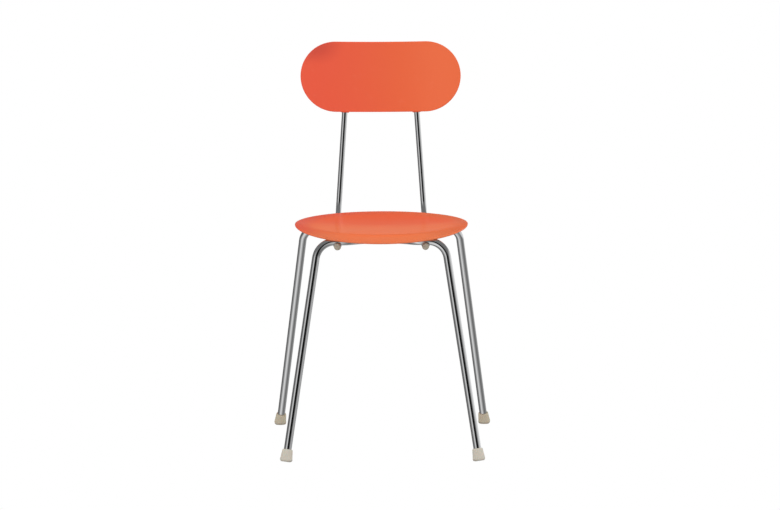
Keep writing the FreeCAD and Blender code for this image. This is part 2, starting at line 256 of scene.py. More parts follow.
def chromedTube():
    material, look = newLook("bright chrome on steel tube")
    spot = look.objectSpot()
    height = look.node("ShaderNodeSeparateXYZ", {}, {"Vector": spot}, out=2)
    low = 1.0 - look.span(height, *chrome["kickedHeight"])
    haze = look.noise(spot, 18.0, 3.0)
    scratches = look.noise(look.stretched(spot, chrome["scratchScale"]), 1.0, 4.0, 0.7)
    scratched = look.span(scratches, 0.62, 0.74) * look.span(haze, 0.40, 0.62)
    pits = look.span(look.noise(spot, chrome["pitScale"], 1.0), 0.73, 0.80)
    toneShift = scratched * (0.25 + low * 0.5) + pits * 0.25
    colour = look.blend(toneShift * 0.35, chrome["colour"], chrome["dull"])
    gloss = chrome["roughness"] + haze * 0.03 + toneShift * 0.10 + low * 0.02
    drawn = look.noise(look.stretched(spot, chrome["drawnScale"]), 1.0, 2.0)
    wavy = look.bump(drawn, 0.06, chrome["drawnHeight"])
    normal = look.bump(scratches, 0.05, chrome["scratchHeight"], wavy)
    look.finish({"Base Color": colour, "Metallic": 1.0, "Roughness": gloss, "Normal": normal})
    return material


polythene = {
    "pale": (0.51, 0.475, 0.41, 1),
    "yellowed": (0.43, 0.37, 0.265, 1),
    "grime": (0.16, 0.145, 0.12, 1),
    "cloudScale": 60.0,
    "streakScale": (420.0, 420.0, 90.0),
    "soleHeight": 0.006,
    "grainScale": 1600.0,
    "grainHeight": 0.00008,
}


def greyMoulding(name, ageing, tone=1.0):
    material, look = newLook(name)
    spot = look.objectSpot()
    height = look.node("ShaderNodeSeparateXYZ", {}, {"Vector": spot}, out=2)
    cloud = look.noise(spot, polythene["cloudScale"])
    body = look.blend(ageing + cloud * 0.25, polythene["pale"], polythene["yellowed"])
    streaks = look.noise(look.stretched(spot, polythene["streakScale"]), 1.0, 4.0, 0.6)
    sole = (1.0 - look.span(height, 0.0, polythene["soleHeight"])) * 0.6
    dirt = sole + look.span(streaks, 0.58, 0.75) * 0.22
    body = look.blend(dirt, body, polythene["grime"])
    # a tone below 1 darkens the whole part: painted shade
    if tone != 1.0:
        body = look.blend(1.0, body, (tone, tone * 0.96, tone * 0.92, 1), "MULTIPLY")
    grain = look.noise(spot, polythene["grainScale"], 2.0)
    gloss = 0.42 + cloud * 0.10 + dirt * 0.15
    normal = look.bump(grain + streaks * 0.5, 0.25, polythene["grainHeight"])
    look.finish({"Base Color": body, "Roughness": gloss, "Normal": normal, "IOR": 1.51,
                 "Subsurface Weight": 0.08, "Subsurface Scale": 0.003})
    return material


zinc = {"clear": (0.60, 0.61, 0.60, 1), "yellow": (0.66, 0.62, 0.50, 1), "mottleScale": 420.0,
        "spangleScale": 1500.0, "mottleHeight": 0.00004}


def zincSteel():
    material, look = newLook("zinc plated steel")
    spot = look.objectSpot()
    mottle = look.noise(spot, zinc["mottleScale"], 4.0, 0.6)
    spangle = look.node("ShaderNodeTexVoronoi", {},
                        {"Vector": spot, "Scale": zinc["spangleScale"]})
    colour = look.blend(look.span(mottle, 0.35, 0.70), zinc["clear"], zinc["yellow"])
    gloss = 0.24 + mottle * 0.16 + spangle * 0.05
    normal = look.bump(mottle, 0.15, zinc["mottleHeight"])
    look.finish({"Base Color": colour, "Metallic": 1.0, "Roughness": gloss, "Normal": normal})
    return material


bead = {"bright": (0.84, 0.84, 0.85, 1), "burnt": (0.60, 0.585, 0.56, 1), "rippleScale": 320.0,
        "spatterScale": 900.0, "rippleHeight": 0.0003}


def weldMetal():
    material, look = newLook("chromed weld bead")
    spot = look.objectSpot()
    ripple = look.node("ShaderNodeTexWave", {"bands_direction": "X"},
                       {"Vector": spot, "Scale": bead["rippleScale"], "Distortion": 2.5}, out=1)
    spatter = look.noise(spot, bead["spatterScale"])
    colour = look.blend(spatter, bead["bright"], bead["burnt"])
    normal = look.bump(ripple + spatter * 0.6, 0.6, bead["rippleHeight"])
    gloss = 0.10 + spatter * 0.14
    look.finish({"Base Color": colour, "Metallic": 1.0, "Roughness": gloss, "Normal": normal})
    return material


finishes = {
    "orange": orangeMoulding(),
    "chrome": chromedTube(),
    "footFront": greyMoulding("pale grey polythene", 0.0),
    "footRear": greyMoulding("yellowed grey polythene", 0.75),
    # the tone of 0.70 darkens the caps as painted shade, for where they sit under the seat's lip
    "cap": greyMoulding("dull grey polythene", 0.30, 0.70),
    "zinc": zincSteel(),
    "weld": weldMetal(),
}
print("finishes made:", len(finishes))


def newPiece(name, mesh, material=None):
    piece = bpy.data.objects.new(name, mesh)
    bpy.context.scene.collection.objects.link(piece)
    if material:
        mesh.materials.clear()
        mesh.materials.append(material)
    return piece


def smooth(mesh, angle):
    mesh.polygons.foreach_set("use_smooth", [True] * len(mesh.polygons))
    mesh.set_sharp_from_angle(angle=math.radians(angle))
    mesh.update()


def welded(shape):
    bmesh.ops.remove_doubles(shape, verts=shape.verts, dist=weldGap)
    bmesh.ops.dissolve_degenerate(shape, edges=shape.edges, dist=weldGap)
    bmesh.ops.recalc_face_normals(shape, faces=shape.faces)


def reworked(mesh, work):
    # hands the mesh to work as a bmesh and takes it back
    shape = bmesh.new()
    shape.from_mesh(mesh)
    work(shape)
    shape.to_mesh(mesh)
    shape.free()


def circle(reach, level, around):
    # points round the z axis, in mm; reach is a radius or the radius at an angle
    spots = []
    for step in range(around):
        angle = 2 * math.pi * step / around
        radius = reach(angle) if callable(reach) else reach
        spots.append(Vector((radius * math.cos(angle), radius * math.sin(angle), level)) * mm)
    return spots


def meshFromRings(name, rings, poles=True):
    # closed rings of points, skinned one to the next; a ring of equal points closes as a pole,
    # and without poles the last ring is skinned to the first
    shape = bmesh.new()
    made = [[shape.verts.new(spot) for spot in ring] for ring in rings]
    pairs = list(zip(made, made[1:]))
    if not poles:
        pairs.append((made[-1], made[0]))
    for first, second in pairs:
        for here in range(len(first)):
            there = (here + 1) % len(first)
            shape.faces.new((first[here], first[there], second[there], second[here]))
    welded(shape)
    mesh = bpy.data.meshes.new(name)
    shape.to_mesh(mesh)
    shape.free()
    return mesh


def softened(profile, radius, steps=4):
    # a profile with all its corners rounded but the first and the last
    result = [profile[0]]
    for before, corner, after in zip(profile, profile[1:], profile[2:]):
        before, corner, after = Vector(before), Vector(corner), Vector(after)
        into, away = before - corner, after - corner
        start = corner + into * min(0.45, radius / into.length)
        end = corner + away * min(0.45, radius / away.length)
        for step in range(steps + 1):
            share = step / steps
            low, high = start.lerp(corner, share), corner.lerp(end, share)
            result.append(tuple(low.lerp(high, share)))
    result.append(profile[-1])
    return result


def revolved(name, profile, start, direction, around):
    # a profile of (radius, distance along the direction) in mm
    turn = Vector(direction).to_track_quat("Z", "Y").to_matrix()
    rings = [[start + turn @ spot for spot in circle(radius, along, around)]
             for radius, along in profile]
    return meshFromRings(name, rings)


def asMesh(thing, name):
    # the mesh with the modifiers applied, which are then removed
    bpy.context.view_layer.update()
    graph = bpy.context.evaluated_depsgraph_get()
    mesh = bpy.data.meshes.new_from_object(thing.evaluated_get(graph), depsgraph=graph)
    mesh.name = name
    thing.modifiers.clear()
    return mesh


def discard(*things):
    for thing in things:
        bpy.data.objects.remove(thing, do_unlink=True)


def combined(base, others, operation):
    # boolean of a closed mesh with others, one after another
    for other in others:
        step = base.modifiers.new("join", "BOOLEAN")
        step.operation = operation
        step.solver = "EXACT"
        step.object = other
    base.data = asMesh(base, base.name)
    discard(*others)
    reworked(base.data, welded)  # closes slits the cuts leave


def keep(piece, nodes):
    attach(piece, "root")
    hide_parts(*nodes)


class Steps:
    # the nodes of one geometry tree
    def __init__(self, name, inputs):
        self.tree = bpy.data.node_groups.new(name, "GeometryNodeTree")
        self.tree.is_modifier = True
        self.addSocket("Geometry", "INPUT", "NodeSocketGeometry")
        self.ids = {}
        for label, (kind, value) in inputs.items():
            socket = self.addSocket(label, "INPUT", kind)
            if value is not None:
                socket.default_value = value
            self.ids[label] = socket.identifier
        self.addSocket("Geometry", "OUTPUT", "NodeSocketGeometry")
        self.start = self.tree.nodes.new("NodeGroupInput")
        self.end = self.tree.nodes.new("NodeGroupOutput")

    def addSocket(self, label, way, kind):
        return self.tree.interface.new_socket(label, in_out=way, socket_type=kind)

    def given(self, label):
        return self.start.outputs[label]

    def node(self, kind, settings=None, sockets=None, out=0):
        made = self.tree.nodes.new(kind)
        for name, value in (settings or {}).items():
            setattr(made, name, value)
        for name, value in (sockets or {}).items():
            if isinstance(value, bpy.types.NodeSocket):
                self.tree.links.new(value, made.inputs[name])
            else:
                made.inputs[name].default_value = value
        return made.outputs[out]

    def finish(self, geometry):
        plain = self.node("GeometryNodeRealizeInstances", {}, {"Geometry": geometry})
        coated = self.node("GeometryNodeSetMaterial", {},
                           {"Geometry": plain, "Material": self.given("Finish")})
        self.tree.links.new(coated, self.end.inputs[0])

    def use(self, thing, values):
        step = thing.modifiers.new(self.tree.name, "NODES")
        step.node_group = self.tree
        for label, value in values.items():
            step[self.ids[label]] = value


def sweepTree():
    steps = Steps("tube along path", {
        "Tube Radius": ("NodeSocketFloat", 0.008),
        "Bend Steps": ("NodeSocketInt", 24),
        "Around": ("NodeSocketInt", 48),
        "Cap Ends": ("NodeSocketBool", False),
        "Finish": ("NodeSocketMaterial", None),
    })
    bend = steps.node("GeometryNodeInputNamedAttribute", {"data_type": "FLOAT"}, {"Name": "bend"})
    path = steps.node("GeometryNodeMeshToCurve", {}, {"Mesh": steps.given("Geometry")})
    path = steps.node("GeometryNodeFilletCurve", {"mode": "POLY"},
                      {"Curve": path, "Count": steps.given("Bend Steps"), "Radius": bend,
                       "Limit Radius": True})
    section = steps.node("GeometryNodeCurvePrimitiveCircle", {},
                         {"Resolution": steps.given("Around"),
                          "Radius": steps.given("Tube Radius")})
    tube = steps.node("GeometryNodeCurveToMesh", {},
                      {"Curve": path, "Profile Curve": section,
                       "Fill Caps": steps.given("Cap Ends")})
    tube = steps.node("GeometryNodeSetShadeSmooth", {}, {"Geometry": tube, "Shade Smooth": True})
    steps.finish(tube)
    return steps


sweep = sweepTree()
sweepSteps = {"bend": 28, "around": 48, "reliefAround": 32}


def pathObject(name, corners):
    # corners are (point, bend radius in mm)
    mesh = bpy.data.meshes.new(name)
    mesh.from_pydata([spot for spot, bend in corners],
                     [(step, step + 1) for step in range(len(corners) - 1)], [])
    bends = mesh.attributes.new("bend", "FLOAT", "POINT")
    bends.data.foreach_set("value", [bend * mm for spot, bend in corners])
    return newPiece(name, mesh)


def sweptPath(name, corners, diameter, around, capped, material):
    path = pathObject(name, corners)
    sweep.use(path, {"Tube Radius": diameter / 2 * mm, "Bend Steps": sweepSteps["bend"],
                     "Around": around, "Cap Ends": capped, "Finish": material})
    path.data = asMesh(path, name)
    return path


def hollowTube(name, corners, tube):
    piece = sweptPath(name, corners, tube["diameter"], sweepSteps["around"], False,
                      finishes["chrome"])
    start = corners[0][0]

    def turnedOut(shape):
        # an open tube may come inside out
        bmesh.ops.recalc_face_normals(shape, faces=shape.faces)
        first = min(shape.faces, key=lambda face: (face.calc_center_median() - start).length)
        if first.normal.dot(first.calc_center_median() - start) < 0:
            bmesh.ops.reverse_faces(shape, faces=shape.faces)

    reworked(piece.data, turnedOut)
    wall = piece.modifiers.new("wall", "SOLIDIFY")
    wall.thickness = tube["wall"] * mm
    wall.offset = -1.0
    piece.data = asMesh(piece, name)
    smooth(piece.data, smoothBelow)
    return piece


legs = {"diameter": 16.0, "wall": 1.5, "barHeight": 445.8, "begin": 5.0}
frontLegs = {"footX": 199.4, "footY": -228.5, "cornerX": 130.9, "barY": -140.0, "bend": 40.0,
             "kneeX": 70.0, "kneeBend": 36.0, "bowAngle": 40.0}
rearLegs = {"footX": 222.5, "footY": 225.5, "cornerX": 164.0, "barY": 80.0, "bend": 30.0}
posts = {"diameter": 12.0, "wall": 1.5, "noseX": 91.0, "noseLength": 14.5, "heelX": 94.3,
         "heelY": 198.6, "bend": 66.0, "leanBack": 8.5, "leanIn": 3.9, "saddle": 4.8}
bothSides = ((-1, "left"), (1, "right"))
railHeight = legs["barHeight"] - legs["diameter"] / 2 - posts["diameter"] / 2 + posts["saddle"]


def legEnds(frameValues, side):
    foot = place(side * frameValues["footX"], frameValues["footY"], 0)
    corner = place(side * frameValues["cornerX"], frameValues["barY"], legs["barHeight"])
    return foot, corner, (corner - foot).normalized()


def frontPath():
    bow = math.radians(frontLegs["bowAngle"])
    kneeX = frontLegs["kneeX"]
    depth = kneeX * math.tan(bow)
    kneeReach = frontLegs["kneeBend"] * math.tan(bow / 2) + 1  # 1 mm stays straight between bends
    middleBend = (kneeX / math.cos(bow) - kneeReach) / math.tan(bow)
    footLeft, cornerLeft, upLeft = legEnds(frontLegs, -1)
    footRight, cornerRight, upRight = legEnds(frontLegs, 1)
    knees = [place(side * kneeX, frontLegs["barY"], legs["barHeight"]) for side in (-1, 1)]
    middle = place(0, frontLegs["barY"] + depth, legs["barHeight"])
    return [
        (footLeft + upLeft * legs["begin"] * mm, 0),
        (cornerLeft, frontLegs["bend"]),
        (knees[0], frontLegs["kneeBend"]),
        (middle, middleBend),
        (knees[1], frontLegs["kneeBend"]),
        (cornerRight, frontLegs["bend"]),
        (footRight + upRight * legs["begin"] * mm, 0),
    ]


def rearPath():
    footLeft, cornerLeft, upLeft = legEnds(rearLegs, -1)
    footRight, cornerRight, upRight = legEnds(rearLegs, 1)
    return [
        (footLeft + upLeft * legs["begin"] * mm, 0),
        (cornerLeft, rearLegs["bend"]),
        (cornerRight, rearLegs["bend"]),
        (footRight + upRight * legs["begin"] * mm, 0),
    ]


def railTip(side):
    return place(side * posts["noseX"], frontLegs["barY"] - posts["noseLength"], railHeight)


def railHeel(side):
    return place(side * posts["heelX"], posts["heelY"], railHeight)


def postDirection(side):
    inward = -side * math.tan(math.radians(posts["leanIn"]))
    return Vector((inward, math.tan(math.radians(posts["leanBack"])), 1)).normalized()


def postAt(side, height):
    # the middle of an upright at this height in mm
    direction = postDirection(side)
    return railHeel(side) + direction * ((height - railHeight) * mm / direction.z)


def railAt(side, y):
    # the middle of a rail at this depth in mm
    tip, heel = railTip(side), railHeel(side)
    share = (y * mm + middleY - tip.y) / (heel.y - tip.y)
    return tip.lerp(heel, share)


backPanel = {"halfWidth": 172.0, "height": 151.5, "centreHeight": 754.5, "curve": 410.0,
             "shell": 4.5, "edge": 1.9, "socketWall": 3.2, "socketGap": 1.2, "clearance": 0.1,
             "lip": 0.5, "insertion": 84.0, "capLength": 11.0, "faceRings": 22, "edgeSteps": 6,
             "socketAround": 56, "boreBeyond": 1.6}
lean = math.radians(posts["leanBack"])
upSlope = Vector((0, math.sin(lean), math.cos(lean)))
outward = Vector((0, math.cos(lean), -math.sin(lean)))
boreRadius = posts["diameter"] / 2 + backPanel["clearance"]
socketDepth = backPanel["insertion"] + backPanel["lip"]


def socketMouth(side):
    drop = (backPanel["height"] / 2 + backPanel["lip"]) * upSlope.z
    return postAt(side, backPanel["centreHeight"] - drop)


def postTop(side):
    return socketMouth(side) + postDirection(side) * socketDepth * mm


def uprightPath(side):
    return [(railTip(side), 0), (railHeel(side), posts["bend"]), (postTop(side), 0)]


keep(hollowTube("front_leg_tube", frontPath(), legs), ["front_leg_frame"])
keep(hollowTube("rear_leg_tube", rearPath(), legs), ["rear_leg_frame"])
for side, word in bothSides:
    tube = hollowTube(word + "_upright_tube", uprightPath(side), posts)
    keep(tube, [word + "_upright"])
print("tubes swept")


seat = {"halfWidth": 182.0, "halfDepth": 190.0, "shell": 4.5, "centreHeight": 460.0,
        "riseRear": 10.0, "riseSide": 7.5, "riseFront": 0.5, "droop": 10.4, "droopStart": 0.78,
        "around": 160, "rings": 44, "rimSteps": 8,
        "boss": 15.0, "bossFoot": 0.6, "bossFlare": 3.2, "bossAround": 48,
        "frontBossY": -92.0, "rearBossY": 132.0,
        "ribWidth": 2.5, "ribDepth": 5.0, "ribSoft": 0.4, "clearance": 0.2}


def seatHeight(x, y):
    # top of the seat in mm: a dish that droops towards its front rim
    reach = math.hypot(x / seat["halfWidth"], y / seat["halfDepth"])
    rear = max(0.0, y / seat["halfDepth"])
    front = max(0.0, -y / seat["halfDepth"])
    rise = seat["riseSide"] + (seat["riseRear"] - seat["riseSide"]) * rear
    rise -= (seat["riseSide"] - seat["riseFront"]) * front
    share = min(max((reach - seat["droopStart"]) / (1 - seat["droopStart"]), 0.0), 1.25)
    fall = share * share * (3 - 2 * share) if share < 1 else 2 * share - share * share
    return seat["centreHeight"] + rise * reach ** 2 - seat["droop"] * front ** 1.5 * fall


def seatShell():
    half = seat["shell"] / 2
    profile = []  # (share of the way out, inset from the rim in mm, depth below the top)
    for step in range(seat["rings"]):
        profile.append((math.sin(math.pi / 2 * step / seat["rings"]), half, 0.0))
    for step in range(seat["rimSteps"] + 1):
        angle = math.pi * step / seat["rimSteps"]
        profile.append((1.0, half - half * math.sin(angle), half - half * math.cos(angle)))
    for share, inset, depth in reversed(profile[:seat["rings"]]):
        profile.append((share, inset, depth + seat["shell"]))
    rings = []
    for share, inset, depth in profile:
        ring = []
        for step in range(seat["around"]):
            angle = 2 * math.pi * step / seat["around"]
            rim = Vector((seat["halfWidth"] * math.cos(angle),
                          seat["halfDepth"] * math.sin(angle)))
            spot = rim * share * (1 - inset / rim.length)
            ring.append(place(spot.x, spot.y, seatHeight(spot.x, spot.y) - depth))
        rings.append(ring)
    name = "seat_moulding"
    return newPiece(name, meshFromRings(name, rings), finishes["orange"])


def block(name, low, high):
    # a box from corner to corner with its level edges rounded
    shape = bmesh.new()
    bmesh.ops.create_cube(shape, size=1.0)
    for vert in shape.verts:
        vert.co = Vector([(a + b) / 2 + (b - a) * c for a, b, c in zip(low, high, vert.co)])
    level = [edge for edge in shape.edges if edge.verts[0].co.z == edge.verts[1].co.z]
    bmesh.ops.bevel(shape, geom=level, offset=seat["ribSoft"] * mm, segments=2, affect="EDGES",
                    profile=0.5)
    mesh = bpy.data.meshes.new(name)
    shape.to_mesh(mesh)
    shape.free()
    return newPiece(name, mesh)


bossRows = (seat["frontBossY"], seat["rearBossY"])


def screwSpots():
    return [railAt(side, y) for side in (-1, 1) for y in bossRows]


def seatUnderside():
    parts = []
    inside = seat["centreHeight"] - seat["shell"] / 2
    ribLow = seat["centreHeight"] - seat["shell"] - seat["ribDepth"]
    for spot in screwSpots():
        x, y = spot.x / mm, (spot.y - middleY) / mm
        tall = seatHeight(x, y) - seat["shell"] / 2 - railHeight
        radius, soft, flare = seat["boss"] / 2, seat["bossFoot"], seat["bossFlare"]
        profile = [(0, 0), (radius - soft, 0), (radius, soft), (radius, tall - 6),
                   (radius + 1.0, tall - 3), (radius + flare, tall - 1.4), (radius + flare, tall),
                   (0, tall)]
        boss = revolved("boss", profile, spot, (0, 0, 1), seat["bossAround"])
        parts.append(newPiece("boss", boss))
    half = seat["ribWidth"] / 2
    for side in (-1, 1):
        x = railAt(side, sum(bossRows) / 2).x / mm
        low = place(x - half, bossRows[0], ribLow)
        parts.append(block("rib", low, place(x + half, bossRows[1], inside)))
    for y in bossRows:
        x = railAt(1, y).x / mm
        low = place(-x, y - half, ribLow)
        parts.append(block("rib", low, place(x, y + half, inside + 1.0)))
    return parts


def seatReliefs():
    # the tubes, a little thicker, to be cut out of the bosses and ribs
    tubes = [(frontPath(), legs), (rearPath(), legs)]
    tubes += [(uprightPath(side), posts) for side in (-1, 1)]
    cutters = []
    for corners, tube in tubes:
        diameter = tube["diameter"] + 2 * seat["clearance"]
        cutter = sweptPath("relief", corners, diameter, sweepSteps["reliefAround"], True, None)
        reworked(cutter.data, welded)
        cutters.append(cutter)
    return cutters


seatPiece = seatShell()
combined(seatPiece, seatUnderside(), "UNION")
combined(seatPiece, seatReliefs(), "DIFFERENCE")
smooth(seatPiece.data, smoothBelow)
keep(seatPiece, ["seat_shell"])
print("seat moulded:", len(seatPiece.data.polygons), "faces")


def panelCentre():
    post = postAt(1, backPanel["centreHeight"])
    sagitta = backPanel["curve"] - math.sqrt(backPanel["curve"] ** 2 - (post.x / mm) ** 2)
    gap = boreRadius + backPanel["socketGap"] + backPanel["shell"]
    return Vector((0, post.y, backPanel["centreHeight"] * mm)) + outward * (sagitta - gap) * mm


def stadium(inset, straightSteps=26, roundSteps=36):
    # outline points of the panel, moved in by inset
    radius = backPanel["height"] / 2
    straight = backPanel["halfWidth"] - radius
    spots = []
    for side in (1, -1):
        for step in range(straightSteps):
            share = step / straightSteps
            spots.append((side * straight * (1 - 2 * share), side * (radius - inset)))
        for step in range(roundSteps):
            angle = math.pi / 2 + math.pi * step / roundSteps
            x = -straight + (radius - inset) * math.cos(angle)
            spots.append((side * x, side * (radius - inset) * math.sin(angle)))
    return spots


def backShell():
    edge, shell = backPanel["edge"], backPanel["shell"]
    radius = backPanel["height"] / 2
    profile = []  # (inset from the outline, depth behind the face) in mm
    for step in range(backPanel["faceRings"]):
        angle = math.pi / 2 * step / backPanel["faceRings"]
        profile.append((radius - (radius - edge) * math.sin(angle), 0.0))
    for step in range(backPanel["edgeSteps"] + 1):
        angle = math.pi / 2 * step / backPanel["edgeSteps"]
        profile.append((edge - edge * math.sin(angle), edge - edge * math.cos(angle)))
    profile += [(inset, shell - depth) for inset, depth in reversed(profile)]
    centre = panelCentre()
    rings = []
    for inset, depth in profile:
        ring = []
        for x, up in stadium(inset):
            curve = backPanel["curve"] + depth
            fall = curve - math.sqrt(curve ** 2 - x ** 2)
            spot = centre + upSlope * up * mm + outward * (depth - fall) * mm
            ring.append(spot + Vector((x * mm, 0, 0)))
        rings.append(ring)
    name = "back_moulding"
    return newPiece(name, meshFromRings(name, rings), finishes["orange"])


def socketProfile():
    radius = boreRadius + backPanel["socketWall"]
    depth, cap = socketDepth, backPanel["capLength"]
    return softened([(0, 0), (radius, 0), (radius, depth), (radius * 0.88, depth + cap * 0.5),
                     (radius * 0.5, depth + cap * 0.9), (0, depth + cap)], 1.2, 5)


def boreProfile():
    deep = socketDepth + backPanel["boreBeyond"]
    return [(0, -4), (boreRadius, -4), (boreRadius, deep), (0, deep)]


def onPosts(name, profile):
    # the profile turned round each post, from the socket's mouth up
    return [newPiece(name, revolved(name, profile, socketMouth(side), postDirection(side),
                                    backPanel["socketAround"])) for side in (-1, 1)]


backPiece = backShell()
combined(backPiece, onPosts("socket", socketProfile()), "UNION")
combined(backPiece, onPosts("bore", boreProfile()), "DIFFERENCE")
smooth(backPiece.data, smoothBelow)
keep(backPiece, ["back_panel"])
print("back moulded:", len(backPiece.data.polygons), "faces")


foot = {"socket": 8.1, "floor": 5.0, "depth": 25.2, "soft": 0.7, "around": 72,
        "outside": [(0, 0), (10.0, 0), (12.2, 2.0), (13.0, 5.0), (12.5, 8.5), (11.7, 15.0),
                    (10.9, 23.6), (9.9, 26.0), (8.5, 26.0)]}
cap = {"soft": 0.5, "around": 56,
       "outside": [(0, -0.2), (6.2, -0.2), (6.2, -3.2), (7.25, -3.2), (7.25, 0.6), (6.55, 2.2),
                   (4.65, 3.3), (0, 3.6)]}


def ferrule(name, frameValues, side, material):
    start, corner, up = legEnds(frameValues, side)
    socket, floor = foot["socket"], foot["floor"]
    inside = [(socket, foot["depth"]), (socket, floor), (0, floor)]
    profile = softened(foot["outside"] + inside, foot["soft"], 3)
    mesh = revolved(name, profile, start, up, foot["around"])
    for vert in mesh.vertices:  # the foot leans with its leg, its sole is level
        vert.co.z = max(vert.co.z, 0.0)
    mesh.update()
    smooth(mesh, turnedSmoothBelow)
    return newPiece(name, mesh, material)


for end, values, finish in (("front", frontLegs, "footFront"), ("rear", rearLegs, "footRear")):
    for side, word in bothSides:
        piece = ferrule(end + "_" + word + "_ferrule", values, side, finishes[finish])
        keep(piece, [end + "_" + word + "_foot"])
for side, word in bothSides:
    forward = (railTip(side) - railHeel(side)).normalized()
    name = word + "_rail_end_cap"
    mesh = revolved(name, softened(cap["outside"], cap["soft"], 3), railTip(side), forward,
                    cap["around"])
    smooth(mesh, turnedSmoothBelow)
    keep(newPiece(name, mesh, finishes["cap"]), [word + "_rail_cap"])
print("feet and caps turned")


def scatterTree():
    steps = Steps("fixing on each point", {
        "Fixing": ("NodeSocketObject", None),
        "Seed": ("NodeSocketInt", 3),
        "Widest Turn": ("NodeSocketFloat", 1.0),
        "Finish": ("NodeSocketMaterial", None),
    })
    facing = steps.node("GeometryNodeInputNamedAttribute", {"data_type": "FLOAT_VECTOR"},
                        {"Name": "facing"})
    spin = steps.node("FunctionNodeRandomValue", {"data_type": "FLOAT"},
                      {"Min": 0.0, "Max": steps.given("Widest Turn"), "Seed": steps.given("Seed")},
                      out=1)
    turned = steps.node("ShaderNodeCombineXYZ", {}, {"Z": spin})
    upright = steps.node("FunctionNodeAlignRotationToVector", {"axis": "Z"}, {"Vector": facing})
    fixing = steps.node("GeometryNodeObjectInfo", {}, {"Object": steps.given("Fixing")}, out=4)
    placed = steps.node("GeometryNodeInstanceOnPoints", {},
                        {"Points": steps.given("Geometry"), "Instance": fixing,
                         "Rotation": upright})
    placed = steps.node("GeometryNodeRotateInstances", {},
                        {"Instances": placed, "Rotation": turned})
    steps.finish(placed)
    return steps


scatter = scatterTree()


def scattered(name, template, spots, facings, seed, widestTurn):
    # one fixing on each spot, its z axis along that spot's facing
    mesh = bpy.data.meshes.new(name)
    mesh.from_pydata(spots, [], [])
    directions = mesh.attributes.new("facing", "FLOAT_VECTOR", "POINT")
    directions.data.foreach_set("vector", [number for facing in facings for number in facing])
    piece = newPiece(name, mesh)
    scatter.use(piece, {"Fixing": template, "Seed": seed, "Widest Turn": widestTurn,
                        "Finish": finishes["zinc"]})
    piece.data = asMesh(piece, name)
    discard(template)
    smooth(piece.data, smoothBelow)
    return piece


fixingAround = 72


def screw(name, values, recess):
    # head up from its seat at the origin, shank down; recess(angle) is the drive's outline
    radius, height, deep = values["head"] / 2, values["headHeight"], values["deep"]
    shank, tip = values["shank"] / 2, -values["length"]
    outer = softened([(0, tip), (shank - 0.8, tip), (shank, tip + 1.2), (shank, 0),
                      (radius - 0.2, 0), (radius, 0.3), (radius, height * 0.35),
                      (radius * 0.86, height * 0.78), (values["flat"], height)], 0.35, 3)
    inner = ((1.06, height), (1.0, height - 0.1), (values["taper"], height - deep),
             (0.0, height - deep * 1.1))
    rings = [circle(reach, level, fixingAround) for reach, level in outer]
    for scale, level in inner:
        rings.append(circle(lambda angle: recess(angle) * scale, level, fixingAround))
    return newPiece(name, meshFromRings(name, rings))


def hexagon(angle):
    # how far the hexagon's outline is from its middle at this angle
    half = seatScrews["drive"] / 2
    return half / math.cos((angle + math.pi / 6) % (math.pi / 3) - math.pi / 6)


def cross(angle):
    long, short = backScrews["crossLong"], backScrews["crossShort"]
    along, across = abs(math.cos(angle)) + 1e-6, abs(math.sin(angle)) + 1e-6
    return max(min(long / along, short / across), min(short / along, long / across))


seatScrews = {"head": 9.4, "headHeight": 3.0, "shank": 4.8, "length": 22.0, "flat": 2.4,
              "drive": 2.6, "deep": 1.8, "taper": 0.98, "washer": 11.0, "washerHole": 5.4,
              "washerThick": 1.6}
backScrews = {"head": 7.2, "headHeight": 2.2, "shank": 3.5, "length": 5.0, "flat": 2.6,
              "crossLong": 2.2, "crossShort": 0.45, "deep": 1.2, "taper": 0.55}


def saddleWasher():
    # flat below, hollowed above to the round of the rail, which runs along y
    outer, hole = seatScrews["washer"] / 2, seatScrews["washerHole"] / 2
    rail = posts["diameter"] / 2
    rings = [circle(reach, level, fixingAround) for reach, level in (
        (hole, 0.15), (outer - 0.25, 0.0), (outer, 0.25), (outer, 0.0), (hole, 0.0))]
    for spot in rings[-2] + rings[-1]:
        hollow = rail - math.sqrt(rail ** 2 - min(abs(spot.x / mm), rail) ** 2)
        spot.z = (min(hollow, 2.0) + seatScrews["washerThick"]) * mm
    return newPiece("washer", meshFromRings("washer", rings, poles=False))


below = Vector((0, 0, posts["diameter"] / 2 + seatScrews["washerThick"])) * mm
spots = [spot - below for spot in screwSpots()]
names = [end + "_" + word for word in ("left", "right") for end in ("front", "rear")]
piece = scattered("seat_screws", screw("screw", seatScrews, hexagon), spots,
                  [(0, 0, -1)] * len(spots), 5, 1.0)
keep(piece, [name + "_seat_screw" for name in names])
piece = scattered("saddle_washers", saddleWasher(), spots, [(0, 0, 1)] * len(spots), 1, 0.0)
keep(piece, [name + "_saddle_washer" for name in names])

spots = []
for side, word in bothSides:
    low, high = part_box(word + "_back_screw")
    shaft = (backScrews["length"] - backScrews["headHeight"]) / 2
    spots.append((low + high) / 2 + outward * shaft * mm)
piece = scattered("back_screws", screw("screw", backScrews, cross), spots,
                  [outward] * len(spots), 8, 1.2)
keep(piece, ["left_back_screw", "right_back_screw"])
print("fixings placed")


# the nodes that stay as they are get their finish only
# the plugs take the caps' finish with its painted shade
keptFinish = {"weld": "weld", "plug": "cap"}
for name, node in frame["nodes"].items():
    kind = name.rsplit("_", 1)[-1]
    if kind in keptFinish:
        node.data.materials.clear()
        node.data.materials.append(finishes[keptFinish[kind]])


